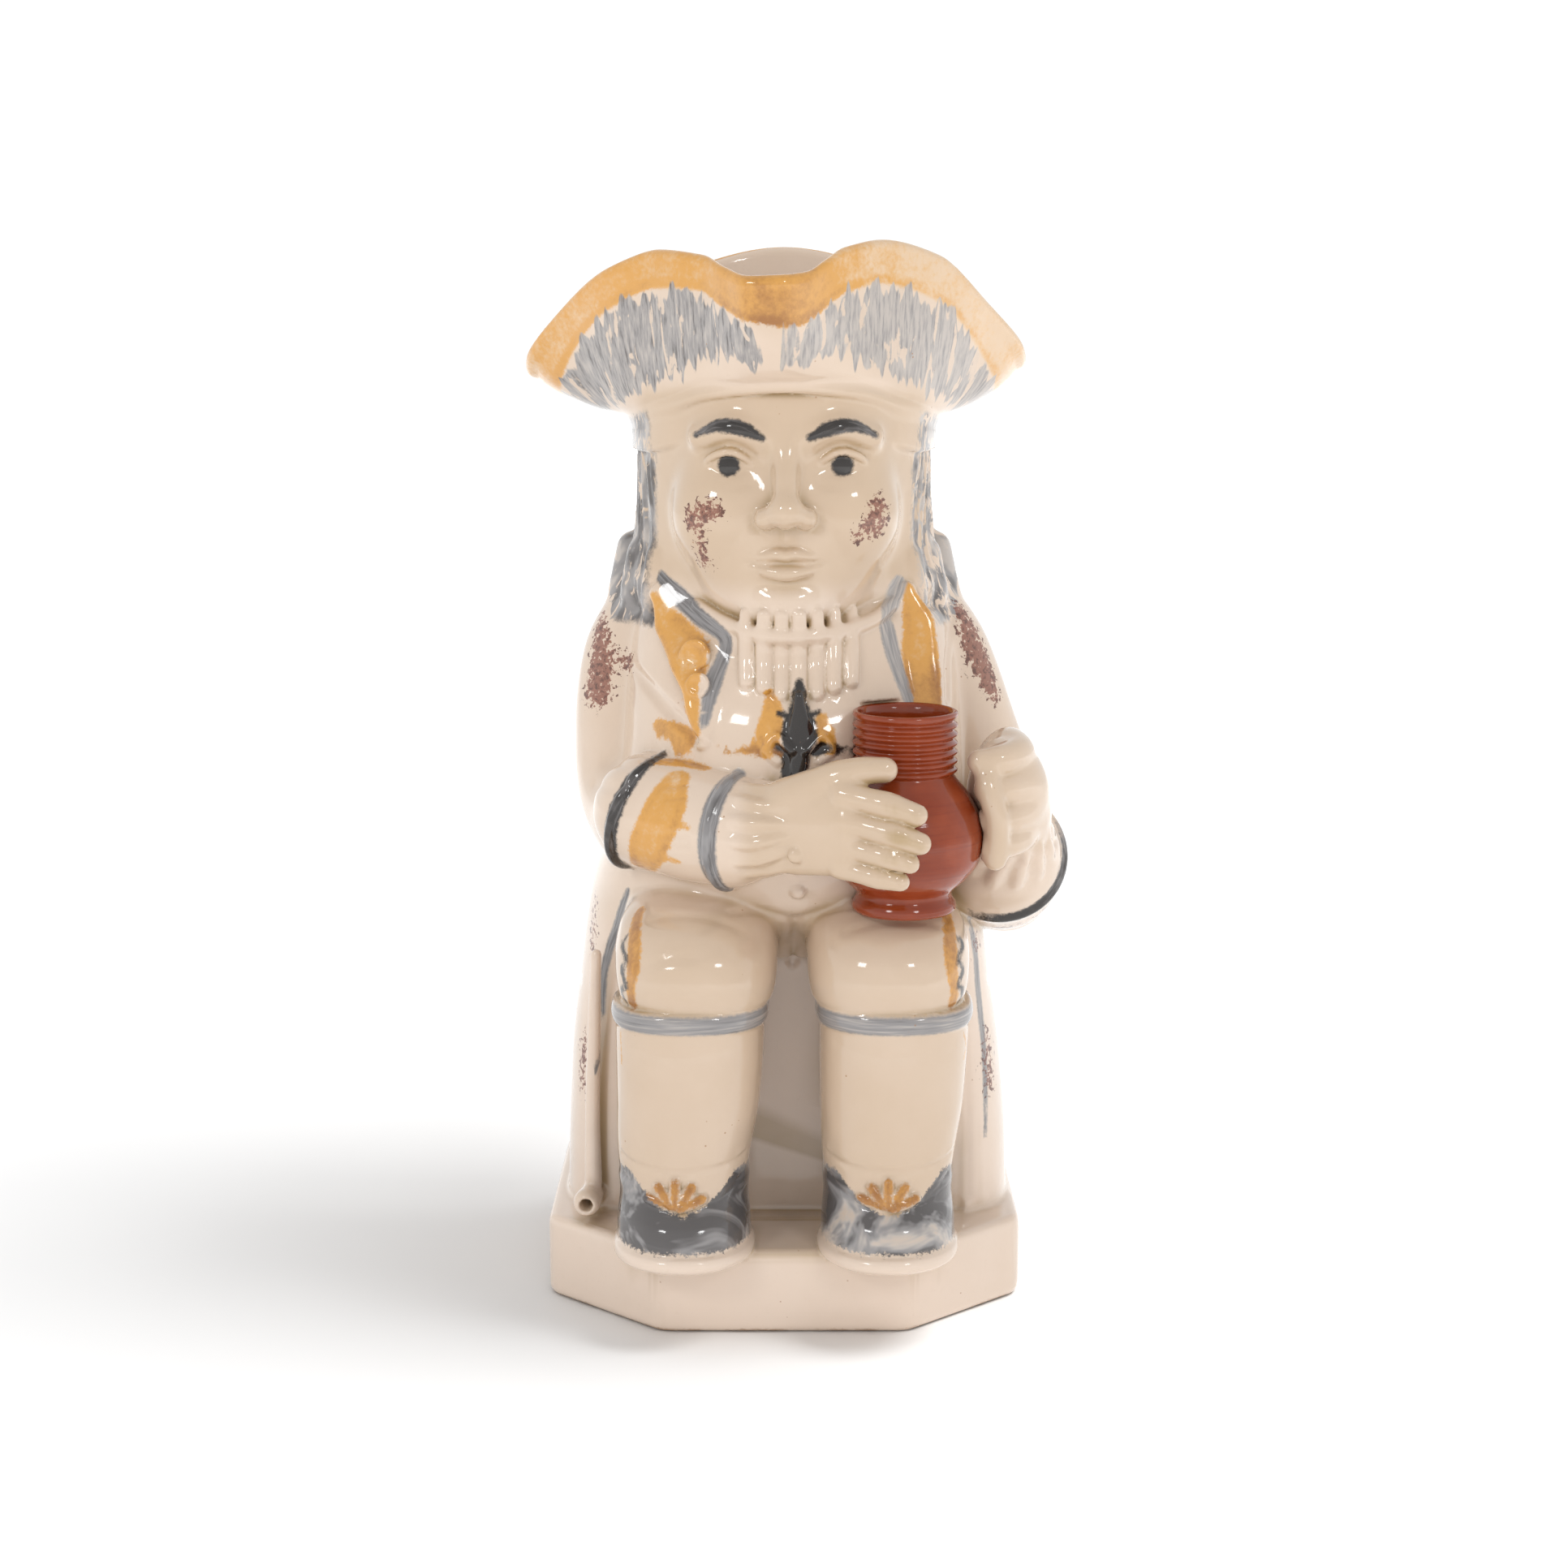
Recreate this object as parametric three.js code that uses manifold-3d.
// Toby jug: a seated figure in a tricorn hat, cast as one hollow body, and the small turned ale jug it holds.
// Millimetres, +Z up, the figure faces -Y, origin at the centre of the plinth's flat underside.
import * as THREE from "three";
import { mergeVertices } from "three/addons/utils/BufferGeometryUtils.js";
import Module from "manifold-3d";

const wasm = await Module();
wasm.setup();

const GAP = 0.35; // clearance round the ale jug, which is luted in
const BRIM = 4.2; // thickness of the hat's brim
const FACE_MIDDLE = 0.4; // x of the face's middle
const SEAT_FRONT = -22.5; // y of the seat's face, between the coat's front edges
const PLINTH = {
  height: 20, front: 50, back: 50, side: 56.8, frontFlat: 29, backFlat: 43,
  sideFrom: -25, sideTo: 37, edge: 1.2,
};
const LEGS = [ // x of each knee, calf and foot; side is the way out from the body's middle
  { side: -1, knee: -20.2, calf: -21.7, foot: -23.3 },
  { side: 1, knee: 24, calf: 25.4, foot: 24.2 },
];
const ALE = { x: 27.3, y: -45, foot: 100.2 };

const TURN = Math.PI * 2;
const DOME = { push: 0.72, scale: 0.62 }; // extra ring that rounds the end of a limb
const UP = [0, 0, 1];
const FORWARD = [0, -1, 0];

// ---- helpers ----------------------------------------------------------------------------------

function solid(geometry) {
  const g = geometry.index ? geometry.clone() : geometry;
  for (const name of ["normal", "uv"]) g.deleteAttribute(name);
  const m = mergeVertices(g, 1e-4);
  return new wasm.Manifold(new wasm.Mesh({
    numProp: 3,
    vertProperties: new Float32Array(m.attributes.position.array),
    triVerts: new Uint32Array(m.index.array),
  }));
}

// A closed surface over rings of equal size; the ends are closed with fans unless the rings form a loop.
function skinOver(rings, looped = false) {
  const n = rings[0].length, count = rings.length;
  const at = rings.flat();
  const index = [];
  const spans = looped ? count : count - 1;
  for (let r = 0; r < spans; r++)
    for (let i = 0; i < n; i++) {
      const j = (i + 1) % n, a = r * n, b = ((r + 1) % count) * n;
      index.push(a + i, a + j, b + j, a + i, b + j, b + i);
    }
  if (!looped)
    for (const [r, flip] of [[0, true], [count - 1, false]]) {
      const centre = rings[r].reduce((s, p) => s.add(p), new THREE.Vector3()).divideScalar(n);
      const c = at.push(centre) - 1;
      for (let i = 0; i < n; i++) {
        const a = r * n + i, b = r * n + ((i + 1) % n);
        index.push(...(flip ? [c, b, a] : [c, a, b]));
      }
    }
  const g = new THREE.BufferGeometry().setFromPoints(at);
  g.setIndex(index);
  return facingOut(g);
}

// A solid from a closed surface whose faces may all point inwards.
function facingOut(g) {
  const p = g.attributes.position, ix = g.index.array;
  const v = [0, 1, 2].map(() => new THREE.Vector3());
  let volume = 0;
  for (let i = 0; i < ix.length; i += 3) {
    v.forEach((q, k) => q.fromBufferAttribute(p, ix[i + k]));
    volume += v[0].dot(v[1].clone().cross(v[2]));
  }
  if (volume < 0)
    for (let i = 0; i < ix.length; i += 3) {
      [ix[i + 1], ix[i + 2]] = [ix[i + 2], ix[i + 1]];
    }
  return solid(g);
}

// Point of a superellipse at angle t: power 2 is an ellipse, more is boxier.
function superPoint(t, rx, ry, power) {
  const c = Math.cos(t), s = Math.sin(t), e = 2 / power;
  return [rx * Math.sign(c) * Math.abs(c) ** e, ry * Math.sign(s) * Math.abs(s) ** e];
}

// Horizontal sections [z, x, y, half width, half depth, power], bottom to top.
function stack(sections, count = 24) {
  return skinOver(sections.map(([z, x, y, rx, ry, power = 2]) =>
    Array.from({ length: count }, (_, i) => {
      const [dx, dy] = superPoint((i / count) * TURN, rx, ry, power);
      return new THREE.Vector3(x + dx, y + dy, z);
    })));
}

// A limb through nodes [x, y, z, half width, half height]; `up` is the direction of the half height.
function limb(nodes, { count = 12, steps = 6, up = UP, power = 2, domed = true } = {}) {
  const curve = new THREE.CatmullRomCurve3(nodes.map(([x, y, z]) => new THREE.Vector3(x, y, z)));
  const last = nodes.length - 1;
  const size = (t, k) => {
    const f = Math.min(t * last, last - 1e-9), i = Math.floor(f), s = f - i;
    const smooth = s * s * (3 - 2 * s);
    const w = (m) => m[k] ?? m[3];
    return w(nodes[i]) * (1 - smooth) + w(nodes[i + 1]) * smooth;
  };
  const stations = Array.from({ length: steps + 1 }, (_, i) => [i / steps, 0, 1]);
  if (domed) {
    stations.unshift([0, -DOME.push, DOME.scale]);
    stations.push([1, DOME.push, DOME.scale]);
  }
  const upward = new THREE.Vector3(...up).normalize();
  return skinOver(stations.map(([t, push, scale]) => {
    const along = curve.getTangent(t).normalize();
    const side = new THREE.Vector3().crossVectors(along, upward).normalize();
    const rise = new THREE.Vector3().crossVectors(side, along).normalize();
    const w = size(t, 3), h = size(t, 4);
    const centre = curve.getPoint(t).addScaledVector(along, push * Math.min(w, h));
    return Array.from({ length: count }, (_, i) => {
      const [a, b] = superPoint((i / count) * TURN, w * scale, h * scale, power);
      return centre.clone().addScaledVector(side, a).addScaledVector(rise, b);
    });
  }));
}

function ball(x, y, z, rx, ry, rz, count = 14) {
  const g = new THREE.SphereGeometry(1, count, Math.max(5, Math.round(count * 0.6)));
  return solid(g.scale(rx, ry, rz).translate(x, y, z));
}

function turned(profile, x, y, count = 24) {
  const points = profile.map(([r, z]) => new THREE.Vector2(r, z));
  const g = new THREE.LatheGeometry(points, count).rotateX(Math.PI / 2).translate(x, y, 0);
  return solid(g);
}

// A button's profile: share of its radius, with the depth of its back or the share of its height.
const BUTTON = [[0, -2], [1, -2], [0.9, 1], [0.5, 0.4], [0, 0.5]];

// A low round button lying on the surface, facing `out`; its rim stands higher than its middle.
function button(at, out, radius, height) {
  const points = BUTTON.map(([r, z]) => new THREE.Vector2(r * radius, z < 0 ? z : z * height));
  const g = new THREE.LatheGeometry(points, 10);
  const turn = new THREE.Quaternion().setFromUnitVectors(
    new THREE.Vector3(0, 1, 0), new THREE.Vector3(...out).normalize());
  return solid(g.applyQuaternion(turn).translate(...at));
}

const join = (...list) => list.flat().reduce((a, b) => a.add(b));

// ---- plinth, seat and coat ----------------------------------------------------------------------

function plinth({ height, front, back, side, frontFlat, backFlat, sideFrom, sideTo, edge }) {
  const corners = [[frontFlat, -front], [side, sideFrom], [side, sideTo], [backFlat, back]];
  const outline = [...corners, ...corners.map(([x, y]) => [-x, y]).reverse()];
  const shape = new THREE.Shape(outline.map(([x, y]) => new THREE.Vector2(x, y)));
  return solid(new THREE.ExtrudeGeometry(shape, {
    depth: height - 2 * edge, bevelThickness: edge, bevelSize: edge, bevelOffset: -edge, bevelSegments: 1,
  }).translate(0, 0, edge));
}

const COAT = [ // sections from the plinth to the waist
  [18, 0.8, 9, 54.4, 36.5, 4], [34, 0.8, 9, 54.0, 36.5, 4], [58, 0.4, 9, 52.4, 36, 4],
  [76, 0.2, 9, 50.0, 35.6, 3.8], [94, 0.2, 7, 47.6, 36, 3.2], [108, 0, 3, 43, 39.5, 2.5],
];
const SEAT = { half: 43, top: 84, depth: 30 }; // the room in front of the seat, between the coat's edges
const TORSO = [ // sections from the waist to the shoulders
  [88, 0, 4, 43, 34, 2.8], [98, 0, 1, 43.5, 41, 2.5], [109, 0.5, -0.5, 43, 44, 2.2],
  [123, 1, -1, 42, 45, 2.1], [140, 1.8, 0, 40.8, 44, 2.1], [155, 2, 3, 40, 40.3, 2.1],
  [163, 1.5, 4, 38, 37.5, 2.1], [170, 1, 5, 32, 31, 2],
];

function seatRecess({ half, top, depth }) {
  const low = PLINTH.height;
  const box = new THREE.BoxGeometry(2 * half, depth, top - low);
  return solid(box.translate(0, SEAT_FRONT - depth / 2, (low + top) / 2));
}

// y of the torso's front surface at (x, z), moved out by `lift`.
function chest(x, z, lift = 0) {
  const i = Math.max(0, Math.min(TORSO.length - 2, TORSO.findIndex((s) => s[0] > z) - 1));
  const a = TORSO[i], b = TORSO[i + 1], t = (z - a[0]) / (b[0] - a[0]);
  const [, cx, cy, rx, ry, power] = a.map((v, k) => v + (b[k] - v) * t);
  const k = Math.max(0, 1 - Math.abs((x - cx) / rx) ** power) ** (1 / power);
  return [x, cy - ry * k - lift, z];
}

// ---- head and hat -------------------------------------------------------------------------------

const HEAD = [
  [158, 0, 6, 32, 28, 2], [164, 0, 4, 36.5, 31, 2.1], [171, 0.3, 3, 38.2, 32.5, 2.2],
  [179, 0, 2, 35.8, 33, 2.2], [192, 0, 1.2, 34.6, 34, 2.2], [216, 0, 0, 34, 35.5, 2],
];
const FACE = [
  [162, 0.4, -19, 11, 10, 2], [165, 0.4, -18, 16, 16.5, 2.1], [170, 0.4, -16.5, 20.5, 20.5, 2.2],
  [177, 0.4, -15, 24, 23.5, 2.3], [187, 0.4, -13.5, 26.4, 25.6, 2.4], [201, 0.4, -12, 27, 26.5, 2.4],
  [219, 0.4, -11, 27, 27, 2.3],
];
// Places on the face: x is the distance from its middle.
const NOSE = [[-36.5, 205, 2.6, 2.4], [-40.5, 196, 3.4, 3], [-43.8, 190, 5, 4.4]]; // y, z and half sizes
const NOSTRIL = { x: 5.2, y: -40.6, z: 188.6, size: [3.2, 3.4, 3] };
const EYE = { x: 12.6, y: -36.3, z: 200.5, size: [5.6, 3, 3.6] };
const BROW = [[6, -38, 207, 1.6, 1.4], [13, -37.4, 209.6, 2, 1.7], [19.5, -33.6, 207, 1.4, 1.2]];
const LIPS = [{ z: 179.6, half: 9.6, r: 1.7 }, { z: 176.9, half: 7.8, r: 1.9 }];
const LIP = { corner: -34.6, front: -38.2, rise: 1.2, taper: 0.4 };

const bothSides = (make) => [-1, 1].map(make);

function lip({ z, half, r }) {
  const end = (side) => [FACE_MIDDLE + side * half, LIP.corner, z + LIP.rise, r * LIP.taper];
  return limb([end(-1), [FACE_MIDDLE, LIP.front, z, r], end(1)], { count: 5, steps: 4 });
}

function face() {
  const pair = ({ x, y, z, size }, count) => bothSides((s) => ball(FACE_MIDDLE + s * x, y, z, ...size, count));
  const nose = limb(NOSE.map((node) => [FACE_MIDDLE, ...node]), { count: 8, steps: 3, up: FORWARD });
  const brows = bothSides((s) =>
    limb(BROW.map(([x, ...rest]) => [FACE_MIDDLE + s * x, ...rest]), { count: 5, steps: 3 }));
  return [nose, ...pair(NOSTRIL, 6), ...pair(EYE, 8), ...brows, ...LIPS.map(lip)];
}

// The hat goes by azimuth: degrees from the front, positive to the figure's left, the +X side.
const EDGE = [ // azimuth, radius and height of the brim's edge
  [-180, 42, 249], [-150, 42, 245], [-124, 50, 232], [-104, 63, 220.2], [-97, 61.6, 223.2],
  [-82, 51, 236.5], [-66, 45, 243.7], [-48, 40, 247.6], [-28, 41, 246.4], [-16, 47, 243.2], [-9, 51.5, 241.4],
  [-1, 52, 241.6], [6, 49, 242.4], [12, 45, 245], [20, 41.5, 248], [38, 38, 249.8], [62, 41.5, 246.5],
  [80, 48, 236.8],
  [95, 57, 226], [103, 59, 222.6], [124, 50, 232], [150, 42, 245], [180, 42, 249],
];
const BAND = [ // azimuth, radius and height of the line where the hat sits on the head
  [-180, 36.5, 210], [-90, 35.2, 209.5], [-50, 35.2, 213], [-25, 38, 217], [0, 39.3, 218.6],
  [25, 38, 217], [50, 35.2, 213], [90, 35.2, 209.5], [180, 36.5, 210],
];

const HAT_INSIDE = 29.5; // radius of the hat's hollow, kept under the neck of the vessel
const HAT_SEGMENTS = 38;

// Radius and height at an azimuth, from -180 to under 180, halfway between straight and eased steps.
function wrapped(table, azimuth) {
  const next = table.findIndex((row) => row[0] > azimuth);
  const [a, b] = [table[next - 1], table[next]];
  const t = (azimuth - a[0]) / (b[0] - a[0]);
  const s = (t * t * (3 - 2 * t) + t) / 2;
  return [a[1] + (b[1] - a[1]) * s, a[2] + (b[2] - a[2]) * s];
}

// [radius, height] round the brim's section: up its outside, over the edge and down into the hat.
function brimProfile(azimuth) {
  const [rb, zb] = wrapped(BAND, azimuth);
  const [re, ze] = wrapped(EDGE, azimuth);
  const mix = (across, rise) => [rb + (re - rb) * across, zb + (ze - zb) * rise];
  const out = [[rb + 0.8, zb], mix(0.5, 0.24), mix(0.84, 0.6), [re, ze - 1.6]];
  const inner = out.map(([r, z], i) => {
    const p = out[Math.max(0, i - 1)], q = out[Math.min(3, i + 1)];
    const dr = q[0] - p[0], dz = q[1] - p[1], length = Math.hypot(dr, dz);
    return [r - (dz / length) * BRIM, z + (dr / length) * BRIM];
  }).reverse();
  const crest = [(re + inner[0][0]) / 2 + 0.3, Math.max(ze, inner[0][1] + 1)];
  inner[3] = [Math.min(inner[3][0], HAT_INSIDE), zb + 3];
  return [...out, crest, ...inner, [HAT_INSIDE, zb - 9], [rb - 3, zb - 5]];
}

function hat() {
  return skinOver(Array.from({ length: HAT_SEGMENTS }, (_, i) => {
    const azimuth = -180 + (360 * i) / HAT_SEGMENTS;
    const a = THREE.MathUtils.degToRad(azimuth);
    return brimProfile(azimuth).map(([r, z]) => new THREE.Vector3(r * Math.sin(a), -r * Math.cos(a), z));
  }), true);
}

// ---- arms and hands -----------------------------------------------------------------------------

const RIGHT_BUTTONS = [[-28.5, -45.5, 127.6], [-30.5, -46.4, 118.6]];
const RIGHT_CUFF_OUT = [-0.45, -1, 0.15];

function rightArm() {
  const sleeve = limb([[-31, 4, 163, 11.5], [-36.5, 3, 151, 12.2], [-38, 0, 136, 12.5], [-36.8, -5, 122, 12.8],
    [-33, -18, 116.5, 12.6], [-29, -32, 120, 12.6]], { count: 10, steps: 6, up: FORWARD });
  const cuff = limb([[-30.5, -32, 120.6, 14.6], [-22, -37.5, 119.6, 14.6], [-12.5, -43.5, 118.4, 13.8]],
    { count: 15, steps: 1, domed: false });
  const frill = limb([[-14, -42.5, 118.6, 11.6, 11.6], [-8, -46.8, 119.4, 11.4, 11.4],
    [-4.5, -49.2, 119.8, 9.5, 10.4]], { count: 12, steps: 2, domed: false });
  const buttons = RIGHT_BUTTONS.map((at) => button(at, RIGHT_CUFF_OUT, 4, 1.4));
  return [sleeve, cuff, frill, ...buttons];
}

const RIGHT_FINGERS = [ // knuckle, middle joint, tip, radius
  [[13, -61, 129.8], [22.8, -65, 128.2], [29, -65.8, 126.2], 3],
  [[13.5, -61.8, 124.2], [24, -66.2, 122], [29.8, -66.2, 119.9], 3],
  [[13.2, -61.6, 118.5], [22.8, -65.9, 116.9], [27.6, -65.8, 115.3], 2.8],
  [[12.4, -60.9, 113.2], [20.6, -64.6, 111.8], [25.6, -64.6, 110.8], 2.7],
];

function rightHand() {
  const palm = limb([[-8, -49.5, 119.6, 4.6, 9.2], [3.5, -55.6, 121.4, 5, 10.8], [14, -61, 121.4, 4.2, 10.2]],
    { count: 10, steps: 2 });
  const fingers = RIGHT_FINGERS.map(([knuckle, middle, tip, r]) =>
    limb([[...knuckle, r * 1.1], [...middle, r], [...tip, r * 0.9]], { count: 6, steps: 3 }));
  const thumb = limb([[2, -54.5, 128.5, 4.6], [11, -58, 133, 3.9], [18, -59.6, 134.6, 3.4],
    [24.4, -60, 134.2, 3]], { count: 7, steps: 3 });
  return [palm, ...fingers, thumb];
}

function leftArm() {
  const sleeve = limb([[31, 4, 163.5, 11.5], [38, 3, 152, 12], [43, 3, 138, 12.3], [49, 2, 120, 12.5],
    [52, -4, 108, 12.4]], { count: 10, steps: 5, up: FORWARD });
  const cuff = limb([[54, 2, 96, 12.5], [52.2, -9, 102, 15.2], [50.8, -19, 107.4, 16.4]],
    { count: 15, steps: 2, domed: false });
  const frill = limb([[51, -17, 106.4, 13.6], [51.4, -24, 110.8, 12.4], [52, -30, 115, 9.8]],
    { count: 12, steps: 1, domed: false });
  const wrist = limb([[51.6, -26, 112, 9], [52.4, -32, 119, 9.5], [51.5, -38, 126, 8.8]],
    { count: 10, steps: 2 });
  return [sleeve, cuff, frill, wrist];
}

const LEFT_FINGERS = [[136.4, -1], [129.8, 0.8], [123.2, 1.2], [117.2, 0]]; // height, shift outwards

function leftHand() {
  const back = ball(51.4, -36, 127.5, 7, 10.5, 12.4, 8);
  const fingers = LEFT_FINGERS.map(([z, out]) => limb([[52.5 + out, -33, z, 3.8], [54 + out, -42, z - 0.4, 3.8],
    [50.5 + out, -48.6, z - 1, 3.6], [44.4 + out, -49, z - 1.4, 3]], { count: 6, steps: 3 }));
  const thumb = limb([[50, -42, 134, 3.6], [44.6, -51, 131.6, 3.1], [47.6, -52.6, 122, 3.1],
    [46.4, -52, 113.6, 2.8]], { count: 7, steps: 4, up: FORWARD });
  return [back, ...fingers, thumb];
}

// ---- legs and shoes -----------------------------------------------------------------------------

function leg({ side, knee, calf, foot }) {
  const lower = stack([
    [30, foot, -40, 14, 15, 2.4], [40, foot, -40.5, 15.2, 15.8, 2.4], [56, calf - 0.4, -40.2, 16.7, 17.2, 2.4],
    [74, calf, -40, 17.3, 18, 2.4], [74.3, calf, -40, 18, 18.7, 2.4], [78.4, calf, -40, 18, 18.7, 2.4],
    [79.4, knee, -39.4, 17.6, 18.4, 2.4], [84, knee, -39, 18.6, 20.2, 2.3], [89, knee, -38, 18.8, 20.6, 2.2],
    [95, knee, -35.6, 17.8, 19.4, 2.1], [99.6, knee, -31.8, 14.8, 16.6, 2], [102.6, knee, -28, 10.5, 12, 2],
  ], 16);
  const thigh = limb([[knee, -34, 87.5, 17.6, 15], [knee, -15, 90, 18, 15], [knee, 6, 92, 17, 14]],
    { count: 12, steps: 1 });
  const shoe = stack([
    [18.6, foot, -43, 14.4, 17.4, 2.2], [20.4, foot, -44, 16.2, 19.6, 2.2],
    [22.4, foot, -43.8, 15.8, 19.2, 2.2], [22.8, foot, -43.4, 15, 18.2, 2.2],
    [28, foot, -43, 15, 17.6, 2.2], [33.5, foot, -41, 13.8, 14.8, 2.2],
  ], 16);
  const rosette = ball(foot + side * 0.6 - 1, -54.2, 37, 6.4, 3, 4.2, 7);
  return [lower, thigh, shoe, rosette];
}

// ---- dress and pipe -----------------------------------------------------------------------------

// A panel laid on the chest: rows [z, left, right, lift], `relief(u)` raises it across its width.
function panel(rows, columns, relief = () => 0) {
  return skinOver(rows.map(([z, left, right, lift]) => {
    const row = (raise) => Array.from({ length: columns + 1 }, (_, i) => {
      const u = i / columns, edge = i === 0 || i === columns;
      return new THREE.Vector3(...chest(left + (right - left) * u, z, edge ? 0.2 : raise(u)));
    });
    return [...row((u) => lift + relief(u)), ...row(() => -2.5).reverse()];
  }));
}

const CRAVAT = [[146.4, -6, 13, 0.4], [148.2, -8, 15.4, 2.4], [156, -10.4, 17.6, 2.6], [167, -11, 18.4, 1.6]];
const CRAVAT_FOLDS = 7;
const FOLD_HEIGHT = 0.8;

function cravat() {
  return panel(CRAVAT, 2 * CRAVAT_FOLDS, (u) => FOLD_HEIGHT * Math.cos(u * CRAVAT_FOLDS * TURN));
}

// A flat strip lying on the chest: nodes [x, z, half width].
function strip(nodes, thick, lift) {
  return limb(nodes.map(([x, z, half]) => [...chest(x, z, lift), half, thick]),
    { count: 6, steps: 5, up: FORWARD, power: 2.6 });
}

const LAPELS = [ // [x, z, half width] from the shoulder down
  [[-28.5, 171, 3.4], [-21.5, 163.5, 8], [-18.4, 155, 6.6], [-17.6, 146.5, 4.2], [-18.6, 138, 2]],
  [[27.5, 171, 3], [29, 162, 6.6], [30.6, 152, 5.4], [31.8, 141, 4]],
];
const LAPEL_BUTTONS = [[-20.6, 157, 4], [-18.6, 151.4, 3]]; // x, z, radius

function dress() {
  const lapels = LAPELS.map((nodes) => strip(nodes, 1.7, 0.6));
  const buttons = LAPEL_BUTTONS.map(([x, z, r]) => button(chest(x, z, 2), [-0.35, -1, 0.25], r, 1.3));
  return [...lapels, ...buttons];
}

function pipe() {
  const stem = limb([[-45.2, -22.8, 66, 2.2], [-45.8, -23, 45, 2.2], [-45.8, -23.4, 27, 2.4]],
    { count: 8, steps: 2, up: FORWARD });
  const bowl = limb([[-45.8, -20, 25, 3], [-46.8, -30, 25, 4]], { count: 12, steps: 1, domed: false });
  const bore = limb([[-46.3, -26, 25, 2], [-47, -33, 25, 2.2]], { count: 8, steps: 1, domed: false });
  return { wall: [stem, bowl], bore };
}

// ---- handle, cavity, ale jug --------------------------------------------------------------------

function handle() {
  return limb([[0, 33, 202, 5, 9], [0, 50, 211, 4.6, 8.4], [0, 67, 207, 4.4, 8], [0, 77, 190, 4.4, 8],
    [0, 78, 165, 4.4, 8], [0, 71, 135, 4.4, 8], [0, 57, 108, 4.6, 8.4], [0, 41, 90, 5, 9.4]],
  { count: 8, steps: 12, up: [1, 0, 0], power: 2.5 });
}

const CAVITY = [ // the hollow of the vessel
  [8, 0, 12, 40, 20, 3], [12, 0, 12, 46, 25, 3.5], [64, 0, 12, 45, 25.5, 3.5], [88, 0, 10, 40, 28, 3],
  [106, 0, 3, 36.5, 34, 2.3], [122, 0.6, 0, 36.4, 37.5, 2.2], [142, 1, 1, 35.2, 36, 2.2],
  [157, 1, 3, 32.5, 31.5, 2.1], [170, 0.3, 2.4, 28, 27, 2.1], [192, 0, 0, 28.2, 29.5, 2.1],
  [232, 0, -0.5, 29.4, 31, 2],
];

const ALE_OUTSIDE = [ // [radius, height over the foot]
  [0, 0], [11.4, 0], [11.8, 1.4], [10.8, 4], [14.6, 8], [17.2, 12.5], [18, 17], [17.2, 22],
  [14.8, 26.8], [11.3, 31],
];
const ALE_RIBS = { from: 31.6, pitch: 2.05, count: 6, low: 11.1, high: 11.9 };
const ALE_INSIDE = [[10.2, 45.2], [9.6, 32], [14, 25], [15.8, 17], [13, 9.5], [8, 6], [0, 5.4]];

// The outside with its turned ribs, `grow` larger all round.
function aleOutside(grow = 0) {
  const ribs = [];
  for (let i = 0; i < ALE_RIBS.count; i++) {
    const z = ALE_RIBS.from + i * ALE_RIBS.pitch;
    ribs.push([ALE_RIBS.low, z], [ALE_RIBS.high, z + ALE_RIBS.pitch * 0.5]);
  }
  ribs.push([11.2, 44], [11.9, 45.4]);
  return [...ALE_OUTSIDE, ...ribs].map(([r, z]) => [r ? r + grow : 0, ALE.foot + z - (z ? 0 : grow)]);
}

function aleJug() {
  const inside = ALE_INSIDE.map(([r, z], i) => [r, ALE.foot + z + (i ? 0 : 0.2)]);
  return turned([...aleOutside(), ...inside], ALE.x, ALE.y, 18);
}

// The room that the figure's hollow hands and lap leave for the ale jug.
function aleRoom() {
  const wall = aleOutside(GAP).map(([r, z]) => [r ? Math.max(r, 11.2) : 0, z]);
  return turned([...wall, [0, wall.at(-1)[1] + 0.01]], ALE.x, ALE.y, 18);
}

// ---- assembly -----------------------------------------------------------------------------------

function figure() {
  const { wall, bore } = pipe();
  const coat = stack(COAT, 26).subtract(seatRecess(SEAT));
  return join(plinth(PLINTH), coat, stack(TORSO, 22), stack(HEAD, 18), stack(FACE, 18), face(), hat(), handle(),
    ...LEGS.map(leg), rightArm(), leftArm(), rightHand(), leftHand(), dress(), cravat(), wall)
    .subtract(stack(CAVITY, 18)).subtract(bore).subtract(aleRoom());
}

function mesh(name, made, colour, roughness) {
  const { vertProperties, triVerts, numProp } = made.getMesh();
  const at = new Float32Array((vertProperties.length / numProp) * 3);
  for (let i = 0; i < at.length / 3; i++) at.set(vertProperties.subarray(i * numProp, i * numProp + 3), i * 3);
  const g = new THREE.BufferGeometry().setAttribute("position", new THREE.BufferAttribute(at, 3));
  g.setIndex(new THREE.BufferAttribute(new Uint32Array(triVerts), 1));
  g.computeVertexNormals();
  const m = new THREE.Mesh(g, new THREE.MeshStandardMaterial({ color: colour, roughness, metalness: 0 }));
  m.name = name;
  return m;
}

const jug = new THREE.Group();
jug.name = "toby_jug";
jug.add(mesh("toby_figure", figure(), 0xdcc8b0, 0.25), mesh("ale_jug", aleJug(), 0x8d3e20, 0.25));
export default jug;
